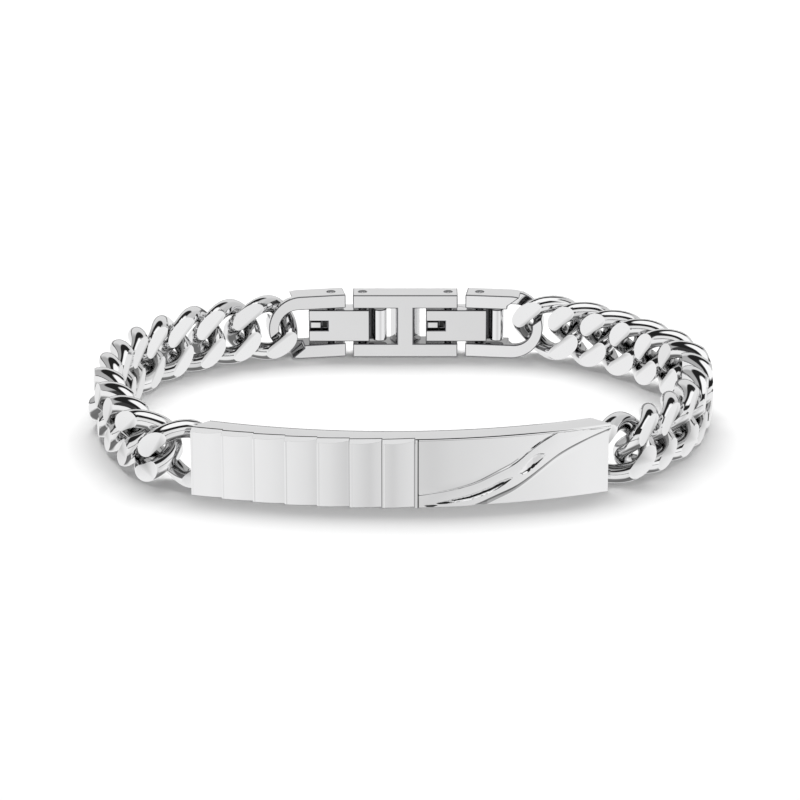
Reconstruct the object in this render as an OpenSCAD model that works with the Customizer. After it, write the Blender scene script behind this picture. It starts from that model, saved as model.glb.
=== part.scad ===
// Identity bracelet: a curved plate, two runs of twisted curb links and a snap clasp
// Millimetres, resting flat, +Z up, the plate at the front (-Y) and the clasp at the back (+Y)

/* [Plate] */
// Straight distance between the plate's two ends
plate_chord = 51.7; // [40:0.1:60]
// Height of the plate
plate_height = 9; // [7:0.1:12]
// Thickness of the plate
plate_thick = 3; // [2:0.1:4]
// Radius of the plate's outer face
plate_radius = 70; // [50:1:120]
// How far each end slopes in from the outer face to the inner face
end_slope = 1.45; // [0:0.05:2.5]
// Turn of the plate about the vertical
plate_turn = 1.2; // [-3:0.1:3]
// Middle of the outer face, from the middle of the loop
plate_middle = [0.23, -27.75];

/* [Relief] */
// Number of stepped panels, counted from the left end
panel_count = 7; // [3:1:9]
// Width of one stepped panel along the outer face
panel_width = 4.02; // [3:0.01:6]
// Height of the step at the right edge of a panel
panel_step = 0.4; // [0.1:0.05:0.5]
// Depth of the plain ground beside the curved rib
ground_depth = 0.35; // [0.1:0.05:0.6]
// Height of the frame strip along the top of the plain ground
frame_strip = 0.55; // [0.3:0.05:1]
// Height and depth of the bevel along the top edge
edge_bevel = [0.85, 0.4];

/* [Links] */
// Number of free links on each side
link_count = 11; // [6:1:14]
// Half the length of a link's centre line
link_half_length = 4; // [3:0.05:6]
// Half the height of a link's centre line
link_half_height = 3.3; // [2:0.05:5]
// Squareness of the link's outline, 2 is an ellipse
link_squareness = 2.6; // [2:0.1:4]
// Turn of each end of a link against its middle
link_twist = 50; // [30:1:60]
// Diameter of the wire
wire_diameter = 2.3; // [1.5:0.02:3]
// Thickness that the cut facets leave
link_thick = 3.6; // [2.5:0.05:5]
// Sections round a link
link_sides = 16; // [10:1:16]
// Sides of the wire
wire_sides = 6; // [5:1:6]

/* [Clasp] */
// Height of the clasp
clasp_height = 8.9; // [7:0.1:12]
// Thickness of the clasp
clasp_thick = 3.3; // [2.5:0.1:4]
// Middle of the clasp, from the middle of the loop
clasp_middle = [0.72, 29.75];
// Distance between the two pins of one tongue
tongue_pins = 4.32; // [3:0.02:6]
// Distance between the two pins of the middle link
middle_pins = 11.7; // [9:0.1:15]
// Height of the opening between the two arms
opening_height = 5.1; // [3:0.1:7]
// Tilt of the end links, left and right
end_tilt = [9.6, 6.5];
// From an end link's pin to its rounded nose
nose_reach = 8.8; // [7:0.1:10]
// Width of the band round the nose
nose_band = 1.42; // [1.2:0.05:2.5]
// From a pin to the end of the arms that hold it, end link and middle link
arm_end = [1.8, 1.3];
// Diameter of a hinge pin
pin_diameter = 1; // [0.8:0.05:1.5]
// How far a pin stays below the faces of its arms
pin_recess = 0.45; // [0:0.05:1]

/* [Fits] */
// Clearance round a pin that is fixed in its arms
fixed_gap = 0.02; // [0.01:0.01:0.1]
// Clearance round a pin in a tongue that turns
turning_gap = 0.06; // [0.02:0.01:0.1]
// Gap between a tongue and the arms beside it
side_gap = 0.3; // [0.1:0.05:0.5]

/* [Run of the chain] */
// Where the links start at the plate, on the left and on the right (left side mirrored)
chain_start = [[27.3, -20.3], [26.8, -18.9]];
// Direction of the chain at the plate, degrees from +X
start_heading = [15, 25];
// The widest point of each side
chain_wide = [[37.5, 1.1], [38.5, 2.8]];
// How strongly the curve holds each direction: start, below, above, end
chain_pull = [[5.6, 7.2, 14.1, 16.1], [5.1, 8.4, 11.3, 10.9]];
// From an end link's pin to the place of the link that its nose stands for
chain_end = [4.3, 4.5];
// How each link lies, counted from the plate: degrees turned from the curve, degrees tipped along it
left_lie = [
    [10, 2], [3, -16], [-2, 1], [0, 0], [1, -3], [-9, -4],
    [-1, 5], [1, 5], [-1, 1], [-3, 1], [-3, -1], [1, 7]
];
right_lie = [
    [-8, 4], [5, -8], [-4, -5], [2, -10], [1, 1], [-2, 3],
    [2, -4], [4, -8], [1, -1], [2, 4], [0, 1], [2, 0]
];
// How far the soldered links roll about their length
solder_roll = [-13, 5];

/* [Hidden] */
$fn = 96;
LEFT = 0;
RIGHT = 1;
over = 1;
route_steps = 48;
steel = [0.78, 0.79, 0.8];
dark_steel = [0.6, 0.61, 0.63];
mid_height = plate_height / 2;
// Middle of the bracelet's box, so that the origin lies under it
box_middle = [0.2, 1.96];

// Curves of the chain

function unit(v) = v / norm(v);
function bezier(p, t) =
    pow(1 - t, 3) * p[0] + 3 * pow(1 - t, 2) * t * p[1]
    + 3 * (1 - t) * t * t * p[2] + pow(t, 3) * p[3];
function heading(angle) = [cos(angle), sin(angle)];

// Place of an end link's pin, with the left side mirrored to the right
function end_pin(side) = [
    (side == LEFT ? -1 : 1) * clasp_middle[0] + middle_pins / 2 + tongue_pins,
    clasp_middle[1]
];

// The chain's centre line from the plate to the clasp, with the left side mirrored
function route(side) =
    let (
        pull = chain_pull[side],
        a = chain_start[side],
        w = chain_wide[side],
        b = end_pin(side) + chain_end[side] * heading(-end_tilt[side]),
        lower = [a, a + pull[0] * heading(start_heading[side]), w - [0, pull[1]], w],
        upper = [w, w + [0, pull[2]], b + pull[3] * heading(-end_tilt[side]), b]
    )
    [
        for (i = [0:route_steps]) bezier(lower, i / route_steps),
        for (i = [1:route_steps]) bezier(upper, i / route_steps)
    ];

// Length of the route up to each of its points
function lengths(path) = [
    for (i = 0, s = 0; i < len(path);
         s = s + (i + 1 < len(path) ? norm(path[i + 1] - path[i]) : 0), i = i + 1) s
];
function along(path, sums, s) = [
    lookup(s, [for (i = [0:len(path) - 1]) [sums[i], path[i][0]]]),
    lookup(s, [for (i = [0:len(path) - 1]) [sums[i], path[i][1]]])
];

// Clockwise travel for a heading from +X toward the clasp
function travel(side, angle) = side == LEFT ? 180 - angle : 180 + angle;

// Middle, clockwise direction seen from above, tip and roll of link k, counted from the plate
function link_place(side, k) =
    let (
        path = route(side),
        sums = lengths(path),
        pitch = sums[len(sums) - 1] / (link_count + 1),
        here = along(path, sums, k * pitch),
        ahead = along(path, sums, (k + 0.5) * pitch) - along(path, sums, (k - 0.5) * pitch),
        flip = side == LEFT ? -1 : 1,
        lie = (side == LEFT ? left_lie : right_lie)[k]
    )
    [
        [flip * here[0], here[1]],
        travel(side, atan2(ahead[1], ahead[0])) + lie[0],
        lie[1],
        k > 0 ? 0 : solder_roll[side]
    ];

// A point of a link tipped in the link's own plane, then rolled about its length
function tipped(p, tip, roll) =
    let (x = p[0] * cos(tip) + p[1] * sin(tip), h = p[1] * cos(tip) - p[0] * sin(tip))
    [x, h * cos(roll) - p[2] * sin(roll), h * sin(roll) + p[2] * cos(roll)];

// A twisted link in its own frame: length, height, depth

function rounded(value) = sign(value) * pow(abs(value), 2 / link_squareness);
function link_line(t) =
    let (
        x = link_half_length * rounded(cos(t)),
        h = link_half_height * rounded(sin(t)),
        w = link_twist * x / link_half_length
    )
    [x, h * cos(w), -h * sin(w)];
function link_ring(t) =
    let (
        c = link_line(t),
        w = link_twist * c[0] / link_half_length,
        d = unit(link_line(t + 2) - link_line(t - 2)),
        out = unit(cross(d, [0, sin(w), cos(w)])),
        face = cross(out, d)
    )
    [
        for (k = [0:wire_sides - 1])
            let (p = c + wire_diameter / 2 * (cos(k * 360 / wire_sides) * out
                                              + sin(k * 360 / wire_sides) * face))
            [p[0], p[1], max(-link_thick / 2, min(link_thick / 2, p[2]))]
    ];

module link(place) {
    turn = place[1];
    points = [
        for (i = [0:link_sides - 1]) each [
            for (q = link_ring(i * 360 / link_sides))
                let (p = tipped(q, place[2], place[3]))
                [
                    place[0][0] + p[0] * cos(turn) + p[2] * sin(turn),
                    place[0][1] + p[0] * sin(turn) - p[2] * cos(turn),
                    mid_height + p[1]
                ]
        ]
    ];
    faces = [
        for (i = [0:link_sides - 1], k = [0:wire_sides - 1])
            let (
                a = i * wire_sides + k,
                b = i * wire_sides + (k + 1) % wire_sides,
                c = ((i + 1) % link_sides) * wire_sides + k,
                d = ((i + 1) % link_sides) * wire_sides + (k + 1) % wire_sides
            )
            each [[a, b, d], [a, d, c]]
    ];
    polyhedron(points, faces, convexity = 4);
}

// The plate, drawn round the middle of its curve and then put in place

end_angle = asin(plate_chord / 2 / plate_radius);
panel_angle = panel_width / plate_radius * 180 / PI;
panels_end = panel_count * panel_angle - end_angle;
function on_curve(angle, depth) = (plate_radius - depth) * [sin(angle), -cos(angle)];

module plate_ends() {
    front = on_curve(end_angle, 0);
    back = on_curve(end_angle, plate_thick) - end_slope * [cos(end_angle), sin(end_angle)];
    polygon([
        front, back, [-back[0], back[1]], [-front[0], front[1]],
        [-front[0], -plate_radius - over], [front[0], -plate_radius - over]
    ]);
}

// Plan of the plate: sloped panels on the left, a sunk plain ground on the right
module plate_plan(right_depth) {
    steps = [
        for (i = [0:panel_count - 1]) each [
            on_curve(i * panel_angle - end_angle, 0),
            on_curve((i + 1) * panel_angle - end_angle, panel_step)
        ]
    ];
    difference() {
        intersection() {
            union() {
                polygon(concat([[0, 0]], steps));
                intersection() {
                    circle(r = plate_radius - right_depth);
                    polygon([
                        [0, 0], on_curve(panels_end, -over),
                        on_curve((panels_end + end_angle) / 2, -2 * over),
                        on_curve(end_angle, -over)
                    ]);
                }
            }
            plate_ends();
        }
        circle(r = plate_radius - plate_thick);
    }
}

// The raised parts on the right, seen from the front: place along, lower edge, upper edge
swoosh = [
    [1.6, -0.1, 1.2],
    [5.6, -0.1, 2.0],
    [9.3, 0.1, 3.1],
    [12.4, 1.35, 4.2],
    [15.2, 2.75, 5.6],
    [17.6, 4.3, 7.2],
    [19.9, 5.8, 8.7],
    [22.6, 7.0, 9.1],
    [26.6, 8.4, 9.1]
];
module relief_outline() {
    polygon(concat(
        [for (s = swoosh) [s[0], s[1]]],
        [for (i = [len(swoosh) - 1:-1:0]) [swoosh[i][0], swoosh[i][2]]]
    ));
    translate([swoosh[0][0], plate_height - frame_strip]) square([plate_chord / 2, frame_strip + 0.1]);
    translate([swoosh[0][0], -0.1]) square([0.45, plate_height + 0.2]);
}

module top_bevel() {
    translate([0, 0, plate_height]) mirror([0, 0, 1]) rotate_extrude()
        polygon([
            [plate_radius - edge_bevel[1], -0.01],
            [plate_radius + over, -0.01],
            [plate_radius + over, edge_bevel[0] * (1 + over / edge_bevel[1])]
        ]);
}

module plate_body() {
    translate(plate_middle) rotate(plate_turn) translate([0, plate_radius]) difference() {
        union() {
            linear_extrude(plate_height) plate_plan(ground_depth);
            intersection() {
                linear_extrude(plate_height) plate_plan(0);
                rotate([90, 0, 0]) translate([0, 0, plate_radius / 2])
                    linear_extrude(plate_radius) relief_outline();
            }
        }
        top_bevel();
    }
}

module id_plate() {
    color(steel) plate_body();
    color(steel) for (side = [LEFT, RIGHT]) link(link_place(side, 0));
}

// Clasp pieces, each drawn with its hinge pin at the origin and the wrist side at -Y

clasp_half = clasp_height / 2;
opening_half = opening_height / 2;
arm_height = clasp_half - opening_half;
tongue_half = opening_half - side_gap;

module pin_bore() {
    translate([0, 0, -clasp_height]) cylinder(d = pin_diameter + 2 * fixed_gap, h = 2 * clasp_height);
}

// Slanted channel that lets the first chain link pass a corner of an end link
channel_width = 4.15;
channel_slope = 38;
channel_middle = [6.5, 2.35];
channel_past_middle = 0.65;
module corner_channel() {
    intersection() {
        translate([channel_middle[0], 0, channel_middle[1]]) rotate([0, -channel_slope, 0])
            translate([-clasp_height, -clasp_thick, -channel_width / 2])
                cube([2 * clasp_height, clasp_thick + channel_past_middle, channel_width]);
        translate([channel_middle[0] - opening_half, -clasp_thick, 0])
            cube([nose_reach, 2 * clasp_thick, clasp_height]);
    }
}

module end_link_face() {
    difference() {
        union() {
            translate([-arm_end[0], -clasp_half]) square([nose_reach + arm_end[0] - clasp_half, clasp_height]);
            translate([nose_reach - clasp_half, 0]) circle(r = clasp_half);
        }
        translate([-arm_end[0] - over, -opening_half])
            square([nose_reach - nose_band + arm_end[0] + over - opening_half, opening_height]);
        translate([nose_reach - nose_band - opening_half, 0]) circle(r = opening_half);
    }
}

module end_link() {
    difference() {
        translate([0, clasp_thick / 2, 0]) rotate([90, 0, 0]) linear_extrude(clasp_thick) end_link_face();
        pin_bore();
        corner_channel();
        rotate([180, 0, 0]) corner_channel();
    }
}

// Middle link, drawn from its own middle: two arms joined by a bar with sloped sides
bar_face = 2.2;
bar_deep = 4;
bar_slope_depth = 1.85;
module middle_link_body() {
    half_length = middle_pins / 2 + arm_end[1];
    inner = -clasp_thick / 2;
    difference() {
        union() {
            for (flip = [0, 1]) mirror([0, 0, flip])
                translate([-half_length, inner, opening_half]) cube([2 * half_length, clasp_thick, arm_height]);
            translate([0, 0, -clasp_half]) linear_extrude(clasp_height) polygon([
                [-bar_face / 2, inner], [bar_face / 2, inner],
                [bar_deep / 2, inner + bar_slope_depth], [bar_deep / 2, -inner],
                [-bar_deep / 2, -inner], [-bar_deep / 2, inner + bar_slope_depth]
            ]);
        }
        for (side = [-1, 1]) translate([side * middle_pins / 2, 0]) pin_bore();
    }
}

// Tongue: a leaf from the snap end to the hinge, a slit, then a rolled end
tongue_inner = -1.5;
tongue_outer = 1.3;
snap_end = 3.03;
leaf_end = 0.96;
slit_width = 0.45;
roll_radius = 0.95;
roll_middle = [leaf_end + slit_width + roll_radius, tongue_inner + roll_radius + 0.1];
notch_end = 0.4;
notch_depth = 0.95;
notch_height = 1.32;
tab_length = 1.5;
tab_height = 0.96;
tab_depth = 0.6;
module tongue_plan() {
    bore = pin_diameter + 2 * turning_gap;
    difference() {
        union() {
            translate([-tongue_pins - snap_end, tongue_inner])
                square([tongue_pins + snap_end + leaf_end, tongue_outer - tongue_inner]);
            translate([0, roll_middle[1]]) square([roll_middle[0], roll_radius]);
            translate(roll_middle) circle(r = roll_radius);
        }
        circle(d = bore);
        translate([-tongue_pins, 0]) circle(d = bore);
        snap_way(bore);
    }
}
// The way out of the snap groove, curved round the hinge pin
module snap_way(width) {
    intersection() {
        difference() {
            circle(r = tongue_pins + width / 2);
            circle(r = tongue_pins - width / 2);
        }
        translate([-tongue_pins - width, 0]) square([tongue_pins, tongue_outer + over]);
    }
}
module tongue() {
    snap_left = -tongue_pins - snap_end;
    difference() {
        translate([0, 0, -tongue_half]) linear_extrude(2 * tongue_half) tongue_plan();
        translate([snap_left - over, tongue_inner - over, -notch_height / 2])
            cube([snap_end - notch_end + over, notch_depth + over, notch_height]);
    }
    translate([snap_left + 0.2, tongue_inner + notch_depth - tab_depth, -tab_height / 2])
        cube([tab_length, tab_depth + 0.1, tab_height]);
}

module hinge_pin() {
    length = clasp_height - 2 * pin_recess;
    translate([0, 0, -length / 2]) cylinder(d = pin_diameter, h = length);
}

// Places of the clasp pieces

function pin_place(side, from_middle) = [
    clasp_middle[0] + side * (middle_pins / 2 + from_middle), clasp_middle[1], mid_height
];
module steel_at(place) {
    color(steel) translate(place) children();
}

module left_end_link() {
    steel_at(pin_place(-1, tongue_pins)) rotate(end_tilt[LEFT]) rotate([0, 180, 0]) end_link();
}
module right_end_link() {
    steel_at(pin_place(1, tongue_pins)) rotate(-end_tilt[RIGHT]) end_link();
}
module middle_link() {
    steel_at([clasp_middle[0], clasp_middle[1], mid_height]) middle_link_body();
}
module left_tongue() { steel_at(pin_place(-1, 0)) tongue(); }
module right_tongue() { steel_at(pin_place(1, tongue_pins)) tongue(); }
module left_end_pin() { steel_at(pin_place(-1, tongue_pins)) hinge_pin(); }
module left_middle_pin() { steel_at(pin_place(-1, 0)) hinge_pin(); }
module right_middle_pin() { steel_at(pin_place(1, 0)) hinge_pin(); }
module right_end_pin() { steel_at(pin_place(1, tongue_pins)) hinge_pin(); }
module chain_link(side, k) {
    color(dark_steel) link(link_place(side, k));
}

// Everything stands over the origin
translate([-box_middle[0], -box_middle[1], 0]) {
    id_plate();
    left_end_link();
    right_end_link();
    middle_link();
    left_tongue();
    right_tongue();
    left_end_pin();
    left_middle_pin();
    right_middle_pin();
    right_end_pin();
    for (k = [1:link_count]) {
        chain_link(LEFT, k);
        chain_link(RIGHT, k);
    }
}
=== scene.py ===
"""Looks of an identity bracelet: polished steel plate, twisted curb links and a hinged clasp."""
from math import asin, atan2, cos, degrees, pi, radians, sin

import bmesh
import bpy
import numpy as np
from mathutils import Matrix, Vector


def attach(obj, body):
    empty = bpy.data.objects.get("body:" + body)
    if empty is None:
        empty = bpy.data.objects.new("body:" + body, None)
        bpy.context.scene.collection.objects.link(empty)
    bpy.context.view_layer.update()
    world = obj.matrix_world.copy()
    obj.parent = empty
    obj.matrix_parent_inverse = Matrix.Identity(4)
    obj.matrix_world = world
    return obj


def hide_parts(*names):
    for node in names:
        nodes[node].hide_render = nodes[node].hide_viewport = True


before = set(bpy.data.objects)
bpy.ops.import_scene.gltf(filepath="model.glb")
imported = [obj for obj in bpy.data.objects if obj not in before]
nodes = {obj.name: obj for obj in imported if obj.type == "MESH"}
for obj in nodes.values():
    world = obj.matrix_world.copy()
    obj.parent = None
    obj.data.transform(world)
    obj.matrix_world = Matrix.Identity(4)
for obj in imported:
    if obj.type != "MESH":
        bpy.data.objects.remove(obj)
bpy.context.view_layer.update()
scene = bpy.context.scene
MM = 0.001

# Sizes repeated from the solids, in millimetres
BOX_MIDDLE = np.array([0.2, 1.96])
MID_HEIGHT = 4.5
PLATE_MIDDLE = np.array([0.23, -27.75])
PLATE_TURN = radians(1.2)
PLATE_RADIUS = 70.0
PLATE_THICK = 3.0
PLATE_HEIGHT = 9.0
PLATE_CHORD = 51.7
END_SLOPE = 1.45
END_ANGLE = asin(PLATE_CHORD / 2 / PLATE_RADIUS)
PANEL_COUNT = 7
PANEL_WIDTH = 4.02
PANELS_END = PANEL_COUNT * PANEL_WIDTH
LINK_COUNT = 11
LINK_HALF_LENGTH = 4.0
LINK_HALF_HEIGHT = 3.3
LINK_SQUARENESS = 2.6
LINK_TWIST = radians(50)
LINK_THICK = 3.6
WIRE_RADIUS = 1.17

# Camera at the photograph's angle, in metres and degrees
CAMERA_PLACE = (-0.0002, -0.42696, 0.1587)
CAMERA_PITCH = 70
CAMERA_LENS = 157.5
SENSOR_WIDTH = 36.0
CLIP_START = 0.01


def add_camera():
    data = bpy.data.cameras.new("camera")
    data.lens = CAMERA_LENS
    data.sensor_width = SENSOR_WIDTH
    data.clip_start = CLIP_START
    camera = bpy.data.objects.new("camera", data)
    camera.location = CAMERA_PLACE
    camera.rotation_euler = (radians(CAMERA_PITCH), 0, 0)
    scene.collection.objects.link(camera)
    scene.camera = camera


# Materials
STEEL = (0.84, 0.84, 0.845)
# Dark colour of the pins and the bevelled edges: painted shade
PAINTED_SHADE_STEEL = (0.2, 0.2, 0.21)
# Colour that the inner sides of the links fade to: painted shade
SOFT_PAINTED_SHADE = (0.42, 0.42, 0.42)
# Colour that the recesses of the plate and clasp fade to: deep painted shade
DEEP_PAINTED_SHADE = (0.03, 0.03, 0.03)
STEEL_ROUGH, PIN_ROUGH, EDGE_ROUGH = 0.04, 0.15, 0.1
CLOUD_SCALE, CLOUD_DETAIL = 260, 3
CLOUD_TONES = (0.97, 1.0)
POLISH_LOW, POLISH_HIGH = 0.7, 1.3
HAIRLINE_SCALE, HAIRLINE_DETAIL = 900, 4
HAIRLINE_STRETCH = (1, 1, 14)
HAIRLINE_STRENGTH = 0.05
HAIRLINE_DEPTH = 0.00002


def new_material(name):
    material = bpy.data.materials.new(name)
    material.use_nodes = True
    tree = material.node_tree
    return material, tree, tree.nodes["Principled BSDF"]


def add_noise(tree, vector, scale, detail):
    noise = tree.nodes.new("ShaderNodeTexNoise")
    noise.inputs["Scale"].default_value = scale
    noise.inputs["Detail"].default_value = detail
    tree.links.new(vector, noise.inputs["Vector"])
    return noise.outputs["Fac"]


def add_range(tree, value, low, high):
    spread = tree.nodes.new("ShaderNodeMapRange")
    spread.inputs["To Min"].default_value = low
    spread.inputs["To Max"].default_value = high
    tree.links.new(value, spread.inputs["Value"])
    return spread.outputs["Result"]


def polished_steel(name, color, rough, painted_darkness=None):
    """Uneven polish, faint cloudy tone and fine hairlines; painted shade, fading to the given dark
    colour where the mesh's shade attribute is 1.
    """
    material, tree, shader = new_material(name)
    new, link = tree.nodes.new, tree.links.new
    place = new("ShaderNodeTexCoord").outputs["Object"]
    cloud = add_noise(tree, place, CLOUD_SCALE, CLOUD_DETAIL)
    paint = new("ShaderNodeMix")
    paint.data_type = "RGBA"
    paint.blend_type = "MULTIPLY"
    paint.inputs["Factor"].default_value = 1.0
    paint.inputs["A"].default_value = (*color, 1)
    link(add_range(tree, cloud, *CLOUD_TONES), paint.inputs["B"])
    if painted_darkness:
        # Painted shade: the colour fades to the dark colour by the mesh's shade attribute
        painted_shade = new("ShaderNodeAttribute")
        painted_shade.attribute_name = "painted_shade"
        fade = new("ShaderNodeMix")
        fade.data_type = "RGBA"
        link(painted_shade.outputs["Fac"], fade.inputs["Factor"])
        link(paint.outputs["Result"], fade.inputs["A"])
        fade.inputs["B"].default_value = (*painted_darkness, 1)
        link(fade.outputs["Result"], shader.inputs["Base Color"])
    else:
        link(paint.outputs["Result"], shader.inputs["Base Color"])
    polish = add_range(tree, cloud, rough * POLISH_LOW, rough * POLISH_HIGH)
    link(polish, shader.inputs["Roughness"])
    stretch = new("ShaderNodeMapping")
    stretch.inputs["Scale"].default_value = HAIRLINE_STRETCH
    link(place, stretch.inputs["Vector"])
    hairline = add_noise(tree, stretch.outputs["Vector"], HAIRLINE_SCALE, HAIRLINE_DETAIL)
    bump = new("ShaderNodeBump")
    bump.inputs["Strength"].default_value = HAIRLINE_STRENGTH
    bump.inputs["Distance"].default_value = HAIRLINE_DEPTH
    link(hairline, bump.inputs["Height"])
    link(bump.outputs["Normal"], shader.inputs["Normal"])
    shader.inputs["Metallic"].default_value = 1.0
    return material


# Meshes
def to_object(name, points, faces, material, sharp_angle):
    mesh = bpy.data.meshes.new(name)
    mesh.from_pydata([Vector(p) * MM for p in points], [], faces)
    mesh.validate()
    mesh.update()
    form = bmesh.new()
    form.from_mesh(mesh)
    bmesh.ops.recalc_face_normals(form, faces=form.faces)
    form.to_mesh(mesh)
    form.free()
    mesh.shade_smooth()
    mesh.set_sharp_from_angle(angle=radians(sharp_angle))
    mesh.materials.append(material)
    piece = bpy.data.objects.new(name, mesh)
    scene.collection.objects.link(piece)
    return piece


def ride(piece, body, *replaced):
    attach(piece, body)
    if replaced:
        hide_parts(*replaced)


# Curves of the chain, as in the solids: a lower and an upper cubic on each side of the plate
SIDES = {
    "left": {
        "flip": -1, "start": (27.3, -20.3), "heading": 15, "wide": (37.5, 1.1),
        "pull": (5.6, 7.2, 14.1, 16.1), "end": 4.3, "tilt": 9.6, "solder_roll": -13,
        "turn": (10, 3, -2, 0, 1, -9, -1, 1, -1, -3, -3, 1),
        "tip": (2, -16, 1, 0, -3, -4, 5, 5, 1, 1, -1, 7),
    },
    "right": {
        "flip": 1, "start": (26.8, -18.9), "heading": 25, "wide": (38.5, 2.8),
        "pull": (5.1, 8.4, 11.3, 10.9), "end": 4.5, "tilt": 6.5, "solder_roll": 5,
        "turn": (-8, 5, -4, 2, 1, -2, 2, 4, 1, 2, 0, 2),
        "tip": (4, -8, -5, -10, 1, 3, -4, -8, -1, 4, 1, 0),
    },
}
CLASP_MIDDLE = (0.72, 29.75)
MIDDLE_PINS = 11.7
TONGUE_PINS = 4.32
ROUTE_STEPS = 48


def bezier(p, t):
    t = t[:, None]
    return ((1 - t) ** 3 * p[0] + 3 * (1 - t) ** 2 * t * p[1]
            + 3 * (1 - t) * t * t * p[2] + t ** 3 * p[3])


def direction(angle):
    return np.array([cos(radians(angle)), sin(radians(angle))])


def link_places(side):
    """Middle, clockwise travel, tip and roll of each link, from the plate; 0 is soldered to it."""
    s = SIDES[side]
    start, wide, pull = np.array(s["start"]), np.array(s["wide"]), s["pull"]
    pin = np.array([s["flip"] * CLASP_MIDDLE[0] + MIDDLE_PINS / 2 + TONGUE_PINS, CLASP_MIDDLE[1]])
    ending = direction(-s["tilt"])
    last = pin + s["end"] * ending
    up = np.array([0, 1])
    steps = np.linspace(0, 1, ROUTE_STEPS + 1)
    leaving = start + pull[0] * direction(s["heading"])
    lower = bezier([start, leaving, wide - pull[1] * up, wide], steps)
    upper = bezier([wide, wide + pull[2] * up, last + pull[3] * ending, last], steps[1:])
    path = np.vstack([lower, upper])
    sums = np.r_[0, np.cumsum(np.hypot(*np.diff(path, axis=0).T))]
    pitch = sums[-1] / (LINK_COUNT + 1)

    def at(distance):
        return np.array([np.interp(distance, sums, path[:, i]) for i in (0, 1)])
    places = []
    for k in range(LINK_COUNT + 1):
        here, ahead = at(k * pitch), at((k + 0.5) * pitch) - at((k - 0.5) * pitch)
        travel = 180 + s["flip"] * degrees(atan2(ahead[1], ahead[0])) + s["turn"][k]
        roll = 0 if k else s["solder_roll"]
        middle = (s["flip"] * here[0], here[1])
        places.append((middle, radians(travel), radians(s["tip"][k]), radians(roll)))
    return places


# One twisted link in its own frame: length, height, depth
LINK_RINGS = 112
WIRE_SIDES = 32
CENTRE_SAMPLES = 1441
SMOOTHINGS = 3
CUT_MARGIN = 1e-6
RIM_MERGE = 0.02
LINK_SHARP_ANGLE = 30
# Painted shade on a link's inner side starts past the wire's top and grows inwards
INSIDE_GROWTH, INSIDE_START = 1.6, 0.3


def link_centre(t):
    def rounded(value):
        return np.sign(value) * np.abs(value) ** (2 / LINK_SQUARENESS)
    x = LINK_HALF_LENGTH * rounded(np.cos(t))
    h = LINK_HALF_HEIGHT * rounded(np.sin(t))
    w = LINK_TWIST * x / LINK_HALF_LENGTH
    return np.stack([x, h * np.cos(w), -h * np.sin(w)], axis=1), w


def link_form():
    fine, w = link_centre(np.linspace(0, 2 * pi, CENTRE_SAMPLES))
    sums = np.r_[0, np.cumsum(np.linalg.norm(np.diff(fine, axis=0), axis=1))]
    even = np.linspace(0, sums[-1], LINK_RINGS, endpoint=False)
    centre = np.stack([np.interp(even, sums, fine[:, i]) for i in range(3)], axis=1)
    for _ in range(SMOOTHINGS):
        centre = (np.roll(centre, 1, 0) + 2 * centre + np.roll(centre, -1, 0)) / 4
    twist = np.interp(even, sums, w)
    along = np.roll(centre, -1, 0) - np.roll(centre, 1, 0)
    along /= np.linalg.norm(along, axis=1)[:, None]
    normal = np.stack([0 * twist, np.sin(twist), np.cos(twist)], axis=1)
    out = np.cross(along, normal)
    out /= np.linalg.norm(out, axis=1)[:, None]
    face = np.cross(out, along)
    form = bmesh.new()
    painted_shade = form.verts.layers.float.new("painted_shade")
    rings = []
    for i in range(LINK_RINGS):
        ring = []
        for a in (2 * pi * k / WIRE_SIDES for k in range(WIRE_SIDES)):
            place = centre[i] + WIRE_RADIUS * (cos(a) * out[i] + sin(a) * face[i])
            ring.append(form.verts.new(place))
            # Painted shade on the inner side of the wire
            ring[-1][painted_shade] = float(np.clip(-cos(a) * INSIDE_GROWTH - INSIDE_START, 0, 1))
        rings.append(ring)
    for i in range(LINK_RINGS):
        for k in range(WIRE_SIDES):
            n, m = (i + 1) % LINK_RINGS, (k + 1) % WIRE_SIDES
            form.faces.new((rings[i][k], rings[i][m], rings[n][m], rings[n][k]))
    for side in (1, -1):
        cut = bmesh.ops.bisect_plane(
            form, geom=form.verts[:] + form.edges[:] + form.faces[:], dist=CUT_MARGIN,
            plane_co=(0, 0, side * LINK_THICK / 2), plane_no=(0, 0, side), clear_outer=True)
        rim = [e for e in cut["geom_cut"] if isinstance(e, bmesh.types.BMEdge)]
        corners = list(dict.fromkeys(v for e in rim for v in e.verts))
        bmesh.ops.remove_doubles(form, verts=corners, dist=RIM_MERGE)
        rim = [e for e in form.edges if e.is_boundary]
        bmesh.ops.edgeloop_fill(form, edges=rim)
    bmesh.ops.recalc_face_normals(form, faces=form.faces)
    mesh = bpy.data.meshes.new("link")
    form.to_mesh(mesh)
    form.free()
    return mesh


def put_link(name, form, place, material, replaced=()):
    (x, y), turn, tip, roll = place
    c, s = cos(turn), sin(turn)
    into = Matrix(((c, 0, s, x - BOX_MIDDLE[0]), (s, 0, -c, y - BOX_MIDDLE[1]),
                   (0, 1, 0, MID_HEIGHT), (0, 0, 0, 1)))
    into = into @ Matrix.Rotation(roll, 4, "X") @ Matrix.Rotation(-tip, 4, "Z")
    mesh = form.copy()
    mesh.name = name
    mesh.transform(Matrix.Scale(MM, 4) @ into)
    mesh.shade_smooth()
    mesh.set_sharp_from_angle(angle=radians(LINK_SHARP_ANGLE))
    # The cut facets are the only faces with more than four corners
    for face in mesh.polygons:
        face.use_smooth = len(face.vertices) <= 4
    mesh.materials.append(material)
    piece = bpy.data.objects.new(name, mesh)
    scene.collection.objects.link(piece)
    ride(piece, "band", *replaced)


# The plate: rings of its cross-section lofted from the left end to the right end

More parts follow.
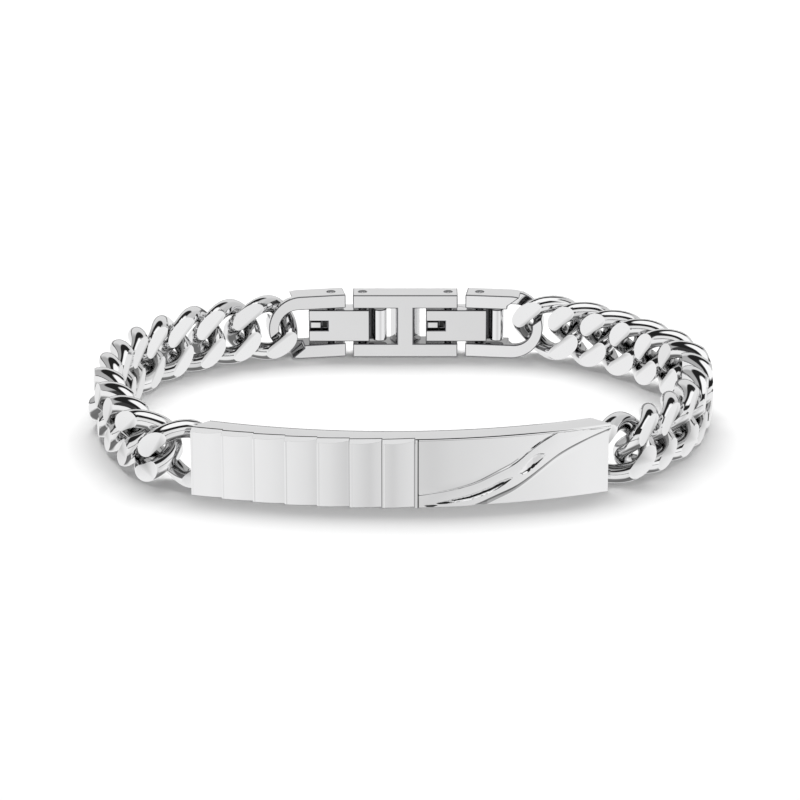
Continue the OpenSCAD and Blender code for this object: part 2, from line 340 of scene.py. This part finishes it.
# Swoosh, seen from the front: place along, lower edge, upper edge
SWOOSH = np.array([
    [1.6, -0.1, 1.6], [4.6, -0.1, 1.98], [7, 0, 2.42], [9.5, 0.45, 3.12], [10.7, 0.95, 3.64],
    [11.9, 1.45, 4.2], [14.1, 2.4, 5.3], [15.5, 3.28, 6.42], [17.2, 4.5, 7.65], [18, 5.09, 8.1],
    [19.2, 5.92, 8.74], [20.4, 6.56, 9.1], [22.8, 7.55, 9.1], [26.6, 8.75, 9.1],
])
# Hollows in the swoosh: place along, height, half width
SLIVER = np.array([[2.6, 0.28, 0], [3, 0.28, 0.16], [4, 0.3, 0.16], [4.5, 0.33, 0]])
LONG_TIP = np.array([
    [4.1, 0.54, 0], [4.5, 0.58, 0.16], [5.4, 0.68, 0.24], [6.2, 0.68, 0.1], [6.8, 0.72, 0],
])
LONG_HOLLOW = np.array([
    [5.4, 0.8, 0], [6, 0.86, 0.2], [7, 0.98, 0.28], [8.3, 1.2, 0.36], [9.5, 1.58, 0.38],
    [10.7, 2.02, 0.4], [11.9, 2.58, 0.42], [12.6, 2.92, 0.34], [13.4, 3.3, 0.12], [13.6, 3.4, 0],
])
ROUND_HOLLOW = np.array([
    [14.3, 3.95, 0], [14.9, 4.2, 0.45], [15.5, 4.66, 0.7], [16.25, 5.32, 0.75],
    [16.75, 5.62, 0.6], [17.2, 5.86, 0.38], [17.45, 5.95, 0.2], [17.6, 5.97, 0],
])
# Section of a hollow in half widths: from the lower edge (-1) to the upper (1), depth
SHARP_SHAPE = np.array([[-1, 0], [0.8, 1.26], [1, 0]])
LONG_SHAPE = np.array([[-1, 0], [-0.62, 0.52], [0.08, 1.02], [0.7, 0.85], [1, 0]])
ROUND_SHAPE = np.array([[-1, 0], [-0.9, 0.2], [-0.66, 0.42], [0.3, 0.5], [0.8, 0.42], [1, 0]])
HOLLOWS = (
    (SLIVER, SHARP_SHAPE), (LONG_TIP, SHARP_SHAPE),
    (LONG_HOLLOW, LONG_SHAPE), (ROUND_HOLLOW, ROUND_SHAPE),
)
LEAST_HALF_WIDTH = 0.01

# Rows of a ring's front
ROWS_BELOW, ROWS_SWOOSH, ROWS_ABOVE = 18, 56, 18
FOOT_ROWS = 8
BEVEL_ROWS = 7
FLAT_ROWS = 4

# Panels: how deep they start and step down, and the ribs and steps between them
PANEL_SINK = 0.03
PANEL_STEP = 0.42
FALL_EVEN, FALL_LATE, FALL_POWER = 0.35, 0.65, 2.2
RIB_HEIGHT, RIB_WIDTH = 0.05, 0.14
RISER_WIDTH = 0.12
BEVEL_DEPTH, BEVEL_GROWTH = 0.3, 0.3
BEVEL_SLOPE = 2.2
BEVEL_BEND = 0.03
BEND_DEPTH = 0.004
FACE_START, FACE_END = 0.2, 0.1
LOWER_EDGE = [(0.1, 0.0), (0.03, 0.03), (0, 0.1)]

# Top corner of the plate
CORNER_SLOPE = 0.67
CORNER_HEIGHT = 0.12
CORNER_BEND = 0.2
TOP_ROUND = 0.03
TOP_FLATS = (0.05, 0.12)

# Ground beside and below the swoosh, with the frame over it
GROUND_DEPTH = 0.3
LOW_GROUND_DEPTH = 0.34
GROUND_START, GROUND_DROP = 0.28, 0.1
GROUND_LEAST = 0.12
GROUND_EDGE = 0.1
GROUND_ENDS = (0.06, 0.05)
FIRST_ROW, FIRST_SHARE = 0.05, 3
FOOT_LEAST, FOOT_GAP = 0.01, 0.005
FRAME_TOP = 0.28
FRAME_DEPTHS = (0.06, 0.05, 0.07)
FRAME_EDGE_DEPTH = 0.09
FRAME_BEND = 0.03
FRAME_BEVEL = (0.14, 0.11)

# Swoosh: its least edges, the skirt and wall below it, and the bow of its face
LOW_LEAST, LOW_MOST, BAND_LEAST = 0.1, 0.3, 0.2
WALL_WIDTH = 0.24
SKIRT_WIDTH, SKIRT_NARROWING, SKIRT_PLACE, SKIRT_LEAST = 0.55, 0.03, 12, 0.2
SKIRT_SLOPE = 0.32
SWOOSH_EDGE = 0.03
SWOOSH_SINK, SWOOSH_BOW, SWOOSH_FALL = 0.02, 0.01, 0.05
SWOOSH_ROUND, SWOOSH_ROUND_SLOPE = 0.05, 0.7
UPPER_WALL, UPPER_GAP, UPPER_BEND = 0.05, 0.02, 0.6


def swoosh_edge(x, column):
    """Cubic through the rows of the swoosh."""
    xs, ys = SWOOSH[:, 0], SWOOSH[:, column]
    slope = np.gradient(ys, xs)
    i = int(np.clip(np.searchsorted(xs, x) - 1, 0, len(xs) - 2))
    h = xs[i + 1] - xs[i]
    t = min(max((x - xs[i]) / h, 0), 1)
    return ((2 * t ** 3 - 3 * t ** 2 + 1) * ys[i] + (t ** 3 - 2 * t ** 2 + t) * h * slope[i]
            + (3 * t ** 2 - 2 * t ** 3) * ys[i + 1] + (t ** 3 - t ** 2) * h * slope[i + 1])


def step_up(x, start, width):
    t = np.clip((x - start) / width, 0, 1)
    return t * t * (3 - 2 * t)


def panel_depth(u):
    """Depth of a panel at u millimetres from its left edge, and its bevel's depth at the top."""
    q = u / PANEL_WIDTH
    rib = RIB_HEIGHT * (1 - step_up(u, RIB_WIDTH, RIB_WIDTH))
    fall = PANEL_STEP * (FALL_EVEN * q + FALL_LATE * q ** FALL_POWER)
    riser = step_up(u, PANEL_WIDTH - RISER_WIDTH, RISER_WIDTH)
    depth = (PANEL_SINK + fall - rib) * (1 - riser)
    return max(depth, 0), BEVEL_DEPTH + BEVEL_GROWTH * q * (1 - riser)


def top_edge(depth, z):
    """The bevel's last rows: a steeper corner, a small round and the start of the flat top."""
    rise = PLATE_HEIGHT - TOP_ROUND - z
    corner = depth + CORNER_SLOPE * rise
    return [(depth, z), (depth + CORNER_BEND * (corner - depth), z + CORNER_BEND * rise),
            (corner, PLATE_HEIGHT - TOP_ROUND), (corner + TOP_ROUND, PLATE_HEIGHT),
            *((corner + flat, PLATE_HEIGHT) for flat in TOP_FLATS)]


def panel_profile(arc):
    """A stepped panel; it has as many rows as the relief."""
    depth, edge = panel_depth(arc % PANEL_WIDTH)
    low, high = PLATE_HEIGHT - BEVEL_SLOPE * (edge - depth), PLATE_HEIGHT - CORNER_HEIGHT
    face_rows = ROWS_BELOW + ROWS_SWOOSH + ROWS_ABOVE - BEVEL_ROWS - 1
    pairs = [(depth + more, z) for more, z in LOWER_EDGE]
    pairs += [(depth, z) for z in np.linspace(FACE_START, low - FACE_END, face_rows)]
    pairs += [(depth, low - BEVEL_BEND), (depth + BEND_DEPTH, low)]
    pairs += [(depth + (z - low) / BEVEL_SLOPE, z)
              for z in np.linspace(low + BEVEL_BEND, high, BEVEL_ROWS)]
    high += BEVEL_BEND
    return pairs + top_edge(depth + (high - low) / BEVEL_SLOPE, high)


def hollow_depth(x, z):
    total = 0
    for table, shape in HOLLOWS:
        if table[0, 0] < x < table[-1, 0]:
            half = max(np.interp(x, table[:, 0], table[:, 2]), LEAST_HALF_WIDTH)
            across = (z - np.interp(x, table[:, 0], table[:, 1])) / half
            total += half * np.interp(across, shape[:, 0], shape[:, 1])
    return total


def relief_profile(arc):
    """The plain ground with the swoosh."""
    x = PLATE_RADIUS * sin(arc / PLATE_RADIUS - END_ANGLE)
    sunk = step_up(arc, PANELS_END + GROUND_START, GROUND_DROP)
    top = PLATE_HEIGHT - FRAME_TOP
    low = min(max(swoosh_edge(x, 1), LOW_LEAST), top - LOW_MOST)
    high = min(max(swoosh_edge(x, 2), low + BAND_LEAST), top)
    skirt = max(SKIRT_WIDTH - SKIRT_NARROWING * (x - SKIRT_PLACE), SKIRT_LEAST)
    pairs = [(LOW_GROUND_DEPTH * sunk + GROUND_EDGE, 0.0)]
    start = min(FIRST_ROW, low / FIRST_SHARE)
    foot = max(low - WALL_WIDTH - skirt, start + FOOT_LEAST)
    for z in [*np.linspace(start, foot, ROWS_BELOW - FOOT_ROWS),
              *np.linspace(foot + FOOT_GAP, low, FOOT_ROWS)]:
        fillet = SKIRT_SLOPE * min(max(z - foot, 0), skirt)
        rise = min(max((z - low + WALL_WIDTH) / WALL_WIDTH, 0), 1)
        depth = LOW_GROUND_DEPTH - fillet + (fillet + SWOOSH_EDGE - LOW_GROUND_DEPTH) * rise
        pairs.append((depth * sunk, z))
    for q in np.linspace(0, 1, ROWS_SWOOSH + 1)[1:]:
        z = low + (high - low) * q
        bow = 2 * q - 1
        body = (SWOOSH_SINK + SWOOSH_BOW * bow ** 2 + SWOOSH_FALL * max(bow, 0) ** 2
                + SWOOSH_ROUND_SLOPE * max(z - high + SWOOSH_ROUND, 0))
        pairs.append(((body + hollow_depth(x, z)) * sunk, z))
    edge = pairs[-1][0]
    ground = (GROUND_DEPTH if high < top - GROUND_LEAST else edge) * sunk
    wall_top = min(high + UPPER_WALL, top - UPPER_GAP)
    ends = [top - end for end in GROUND_ENDS]
    for z in [*np.linspace(wall_top, ends[0], ROWS_ABOVE - 1), ends[1]]:
        pairs.append((ground if z > wall_top else edge + UPPER_BEND * (ground - edge), z))
    bevel_start, bevel_end = (PLATE_HEIGHT - less for less in FRAME_BEVEL)
    pairs += zip(FRAME_DEPTHS, (top, top + FRAME_BEND, bevel_start))
    return pairs + top_edge(FRAME_EDGE_DEPTH, bevel_end)


def column_profile(arc):
    """Front of the plate at one place along: pairs of depth and height from the bottom up."""
    return panel_profile(arc) if arc < PANELS_END else relief_profile(arc)


# Painted shade beside the steps: step, from and to in millimetres past it, amount of painted shade
STEP_SHADES = [(5, -0.16, -0.03, 0.3), (6, -0.16, -0.03, 0.55), (7, -0.13, -0.03, 0.55),
               (7, 0.27, 0.4, 0.9)]
# Painted shade on the rows below the swoosh: the soft band, then the dark line under its edge
FOOT_SHADES = {11: 0.1, 12: 0.3, 13: 0.32, 14: 0.34, 15: 0.5, 16: 0.75, 17: 0.75, 18: 0.3}
FOOT_SHADE_START, FOOT_SHADE_SPAN = 10, 6


def step_shade(arc):
    step = round(arc / PANEL_WIDTH)
    past = arc - step * PANEL_WIDTH
    return sum(shade for k, start, end, shade in STEP_SHADES if k == step and start < past < end)


# Places of the rings: after a panel's start, before its end, and after the start of the ground
PANEL_STARTS = (0, 0.06, 0.12, 0.16, 0.2, 0.25, 0.3, 0.36)
PANEL_ENDS = (0.2, 0.14, 0.12, 0.1, 0.08, 0.06, 0.04, 0.015, 0.0005)
GROUND_STARTS = (0.001, 0.1, 0.2, 0.28, 0.3, 0.33, 0.36, 0.38, 0.4)
PANEL_INNER, PANEL_INNER_RINGS = (0.5, 0.25), 20
RELIEF_INNER, RELIEF_RINGS = 0.45, 330


def plate_columns():
    arcs = []
    for i in range(PANEL_COUNT):
        inner = list(PANEL_STARTS)
        inner += list(np.linspace(PANEL_INNER[0], PANEL_WIDTH - PANEL_INNER[1], PANEL_INNER_RINGS))
        inner += [PANEL_WIDTH - w for w in PANEL_ENDS]
        arcs += [i * PANEL_WIDTH + w for w in inner]
    arcs += [PANELS_END + w for w in GROUND_STARTS]
    arcs += list(np.linspace(PANELS_END + RELIEF_INNER, 2 * END_ANGLE * PLATE_RADIUS, RELIEF_RINGS))
    return arcs


def plate_point(arc, depth, z):
    slant = END_SLOPE / (PLATE_RADIUS * END_ANGLE) * depth / PLATE_THICK
    angle = (arc / PLATE_RADIUS - END_ANGLE) * (1 - slant)
    r = PLATE_RADIUS - depth
    x, y = r * sin(angle), PLATE_RADIUS - r * cos(angle)
    c, s = cos(PLATE_TURN), sin(PLATE_TURN)
    return (c * x - s * y + PLATE_MIDDLE[0] - BOX_MIDDLE[0],
            s * x + c * y + PLATE_MIDDLE[1] - BOX_MIDDLE[1], z)


BACK_ROUND, BACK_ROUND_ROWS = 0.06, 5
BACK_SIDE, BACK_RIM, BACK_INNER = 1.2, 0.3, 0.4
PLATE_SHARP_ANGLE = 24


def back_profile():
    """Rest of the ring over the back, from the top down: pairs of depth and height."""
    turn = [(BACK_ROUND * (1 - cos(a)), BACK_ROUND * (1 - sin(a)))
            for a in np.linspace(pi / 2, 0, BACK_ROUND_ROWS)]
    upper = [(PLATE_THICK - w, PLATE_HEIGHT - h) for h, w in turn]
    lower = [(PLATE_THICK - w, h) for h, w in reversed(turn)]
    rim = PLATE_THICK - BACK_RIM
    return [(BACK_SIDE, PLATE_HEIGHT), (rim, PLATE_HEIGHT), *upper,
            (PLATE_THICK, PLATE_HEIGHT - BACK_INNER), (PLATE_THICK, BACK_INNER), *lower,
            (rim, 0), (BACK_SIDE, 0)]


def build_plate(material):
    points, faces = [], []
    arcs, back = plate_columns(), back_profile()
    for arc in arcs:
        ring = column_profile(arc) + back
        points += [plate_point(arc, d, z) for d, z in ring]
    size = len(ring)
    for j in range(len(arcs) - 1):
        for i in range(size):
            n = (i + 1) % size
            faces.append((j * size + i, j * size + n, (j + 1) * size + n, (j + 1) * size + i))
    faces.append(tuple(range(size)))
    faces.append(tuple((len(arcs) - 1) * size + i for i in reversed(range(size))))
    piece = to_object("plate", points, faces, material, PLATE_SHARP_ANGLE)
    # Painted shade beside the steps and below the swoosh's lower edge
    shade = piece.data.attributes.new("painted_shade", "FLOAT", "POINT")
    for j, arc in enumerate(arcs):
        x = PLATE_RADIUS * sin(arc / PLATE_RADIUS - END_ANGLE)
        share = min(max((x - FOOT_SHADE_START) / FOOT_SHADE_SPAN, 0), 1)
        for i in range(size - len(back) - FLAT_ROWS):
            painted_darkness = max(step_shade(arc), share * FOOT_SHADES.get(i, 0))
            shade.data[j * size + i].value = painted_darkness
    return piece


# Clasp pieces: the solids with softened edges, with painted shade in their recesses and on their
# edges
CLASP_FRONT = CLASP_MIDDLE[1] - BOX_MIDDLE[1]
OPENING_HALF = 2.6
NOTCH_HALF = 0.68
NOTCH_SPAN = (-7.3, -4.7)
SLIT_SPAN = (0.9, 1.46)
SUNK_SPAN = (-1.45, -0.4)
TAB_HALF, TAB_FRONT = 0.49, -0.9
FACING = 0.7
ARM_PAINTED_SHADE, CHANNEL_PAINTED_SHADE = 0.6, 0.8
CHANNEL_SLOPES = (0.3, 0.95)
CHANNEL_AREA = 1.5
MERGE_DISTANCE = 1e-6
FLAT_ANGLE, BEVEL_ANGLE = 1, 35
EDGE_WIDTH, EDGE_SEGMENTS = 0.13, 2
FACE_WEIGHT = 100


def within(value, span):
    return span[0] < value < span[1]


def tongue_shade(x, y, z, face):
    """Painted shade in the notch and slit of a tongue, measured from its hinge at the right."""
    notch = within(x, NOTCH_SPAN) and abs(z) < NOTCH_HALF
    tab_face = face.normal.y < -FACING and abs(z) < TAB_HALF and y < TAB_FRONT
    sunk = notch and not tab_face or within(x, SLIT_SPAN)
    return 1 if sunk and within(y, SUNK_SPAN) else 0


def link_shade(x, y, z, face):
    """Painted shade in the channels that let a link pass and on the arms' insides, facing the
    tongues.
    """
    slope = abs(face.normal.z)
    if within(slope, CHANNEL_SLOPES) and face.area > CHANNEL_AREA * MM * MM:
        return CHANNEL_PAINTED_SHADE
    return ARM_PAINTED_SHADE if abs(z) < OPENING_HALF and slope > FACING else 0


def soften(name, body, material, edge, shade, hinge=0):
    mesh = nodes[name].data.copy()
    mesh.name = name + "_fine"
    piece = bpy.data.objects.new(name + "_fine", mesh)
    scene.collection.objects.link(piece)
    form = bmesh.new()
    form.from_mesh(mesh)
    bmesh.ops.remove_doubles(form, verts=form.verts, dist=MERGE_DISTANCE)
    bmesh.ops.dissolve_limit(
        form, angle_limit=radians(FLAT_ANGLE), verts=form.verts, edges=form.edges)
    form.to_mesh(mesh)
    form.free()
    mesh.materials.clear()
    mesh.materials.append(material)
    mesh.materials.append(edge)
    mesh.shade_smooth()
    # Painted shade on each face, from the shade function
    layer = mesh.attributes.new("painted_shade", "FLOAT", "FACE")
    for face in mesh.polygons:
        x, y, z = (nodes[name].matrix_world @ face.center) / MM
        layer.data[face.index].value = shade(x - hinge, y - CLASP_FRONT, z - MID_HEIGHT, face)
    bevel = piece.modifiers.new("edges", "BEVEL")
    bevel.width = EDGE_WIDTH * MM
    bevel.segments = EDGE_SEGMENTS
    bevel.limit_method = "ANGLE"
    bevel.angle_limit = radians(BEVEL_ANGLE)
    # The bevelled edges take the second material: painted shade along them
    bevel.material = 1
    bevel.use_clamp_overlap = False
    flat = piece.modifiers.new("flat_faces", "WEIGHTED_NORMAL")
    flat.weight = FACE_WEIGHT
    ride(piece, body, name)


# Floor and light
FLOOR_SIZE = 6
FLOOR_TONE = (0.93, 0.93, 0.93, 1)
FLOOR_ROUGH, FLOOR_SPECULAR = 0.9, 0.1


def add_stage():
    bpy.ops.mesh.primitive_plane_add(size=FLOOR_SIZE)
    floor = bpy.context.object
    floor.name = "floor"
    material, _, shader = new_material("floor")
    shader.inputs["Base Color"].default_value = FLOOR_TONE
    shader.inputs["Roughness"].default_value = FLOOR_ROUGH
    shader.inputs["Specular IOR Level"].default_value = FLOOR_SPECULAR
    floor.data.materials.append(material)
    floor.visible_glossy = False
    scene.view_settings.view_transform = "Standard"


# Studio round the object. By height: degrees, share of the walls, windows, ceiling and table
HEIGHTS = [
    (-90, 0, 0, 0, 0.2), (-60, 0, 0, 0, 0.2), (-44, 0, 0, 0, 1), (-2, 0, 0, 0, 1),
    (0, 0.15, 0, 0, 0), (3, 0.15, 0, 0, 0), (5, 1, 0, 0, 0), (33, 1, 0, 0, 0),
    (37, 0, 1, 0, 0), (60, 0, 1, 0, 0), (65, 0, 0, 1, 0), (90, 0, 0, 1, 0),
]
# By the compass, -90 left, 0 front, 90 right: degrees, light of the walls, windows and table
COMPASS = [
    (-180, 0.8, 0.02, 0.9), (-150, 0.8, 0.02, 0.9), (-138, 0.45, 0.02, 0.9), (-112, 0.5, 0.02, 1),
    (-80, 0.5, 0.02, 1), (-76, 0.05, 0.02, 1), (-60, 0.05, 0.02, 1), (-54, 0.9, 0.02, 1),
    (-28, 0.9, 0.02, 1), (-14, 0.9, 0.02, 0.94), (-4, 0.9, 0.02, 0.88), (3, 0.9, 0.02, 0.8),
    (9, 0.9, 0.02, 0.74), (14, 0.9, 0.02, 0.81), (20, 0.95, 0.02, 0.85), (32, 1, 0.02, 0.92),
    (44, 1.1, 0.02, 1), (50, 1.1, 1, 1), (72, 1.1, 1, 1), (77, 0.1, 0.05, 1), (98, 0.1, 0.05, 1),
    (104, 0.6, 0.7, 1), (142, 0.7, 0.7, 0.9), (150, 0.8, 0.02, 0.9), (180, 0.8, 0.02, 0.9),
]
CEILING = 1.15


def add_ramp(tree, angle, rows):
    """Three or four lights over an angle in radians, from rows of degrees and lights."""
    new, link = tree.nodes.new, tree.links.new
    part = new("ShaderNodeMapRange")
    first, last = rows[0][0], rows[-1][0]
    part.inputs["From Min"].default_value = radians(first)
    part.inputs["From Max"].default_value = radians(last)
    link(angle, part.inputs["Value"])
    colours = new("ShaderNodeValToRGB")
    ramp = colours.color_ramp
    for i, (degree, *lights) in enumerate(rows):
        spot = (degree - first) / (last - first)
        stop = ramp.elements[i] if i < 2 else ramp.elements.new(spot)
        stop.position = spot
        stop.color = (*lights, 1)[:4]
    link(part.outputs["Result"], colours.inputs["Fac"])
    apart = new("ShaderNodeSeparateColor")
    link(colours.outputs["Color"], apart.inputs["Color"])
    return [*apart.outputs, colours.outputs["Alpha"]]


def compute(tree, operation, *values):
    node = tree.nodes.new("ShaderNodeMath")
    node.operation = operation
    for value, socket in zip(values, node.inputs):
        if isinstance(value, (int, float)):
            socket.default_value = value
        else:
            tree.links.new(value, socket)
    return node.outputs["Value"]


def add_studio():
    world = bpy.data.worlds.new("studio")
    scene.world = world
    world.use_nodes = True
    tree = world.node_tree
    new, link = tree.nodes.new, tree.links.new
    place = new("ShaderNodeTexCoord")
    parts = new("ShaderNodeSeparateXYZ")
    link(place.outputs["Generated"], parts.inputs["Vector"])
    x, y, z = parts.outputs
    height = add_ramp(tree, compute(tree, "ARCSINE", z), HEIGHTS)
    bearing = compute(tree, "ARCTAN2", x, compute(tree, "MULTIPLY", y, -1))
    compass = add_ramp(tree, bearing, COMPASS)
    light = compute(tree, "MULTIPLY", height[2], CEILING)
    for share, strength in zip((height[0], height[1], height[3]), compass):
        light = compute(tree, "MULTIPLY_ADD", share, strength, light)
    # The background itself is white, as the photograph's is
    rays = new("ShaderNodeLightPath")
    seen = compute(tree, "MAXIMUM", light, rays.outputs["Is Camera Ray"])
    link(seen, tree.nodes["Background"].inputs["Color"])


def add_light(name, place, target, size, power):
    data = bpy.data.lights.new(name, "AREA")
    data.shape = "RECTANGLE"
    data.size, data.size_y = size
    data.energy = power
    light = bpy.data.objects.new(name, data)
    light.location = place
    light.rotation_euler = (Vector(target) - Vector(place)).to_track_quat("-Z", "Y").to_euler()
    light.visible_glossy = False
    scene.collection.objects.link(light)


add_camera()
add_stage()
add_studio()
add_light("behind", place=(-0.05, 0.38, 0.6), target=(0, 0, 0), size=(0.8, 0.4), power=5.2)
# Soft painted shade on the links' inner sides
steel = polished_steel("polished_steel", STEEL, STEEL_ROUGH, SOFT_PAINTED_SHADE)
# Deep painted shade in the recesses of the plate and clasp
shaded = polished_steel("shaded_steel", STEEL, STEEL_ROUGH, DEEP_PAINTED_SHADE)
# Dark steel: painted shade over the pins and the bevelled edges
pin_steel = polished_steel("pin_steel", PAINTED_SHADE_STEEL, PIN_ROUGH)
shaded_edge_steel = polished_steel("shaded_edge_steel", PAINTED_SHADE_STEEL, EDGE_ROUGH)

for name, obj in nodes.items():
    obj.data.materials.clear()
    obj.data.materials.append(pin_steel if name.endswith("_pin") else steel)

form = link_form()
for side in SIDES:
    for k, place in enumerate(link_places(side)):
        if k:
            put_link(f"{side}_chain_link_{k}", form, place, steel, (f"{side}_link_{k}",))
        else:
            put_link(f"{side}_soldered_link", form, place, steel)

ride(build_plate(shaded), "band", "id_plate")
for name, body in (("left_end_link", "band"), ("right_end_link", "band"),
                   ("middle_link", "middle_link")):
    soften(name, body, shaded, shaded_edge_steel, link_shade)
for name, side, past in (("left_tongue", -1, 0), ("right_tongue", 1, TONGUE_PINS)):
    hinge = CLASP_MIDDLE[0] - BOX_MIDDLE[0] + side * (MIDDLE_PINS / 2 + past)
    soften(name, name, shaded, shaded_edge_steel, tongue_shade, hinge)
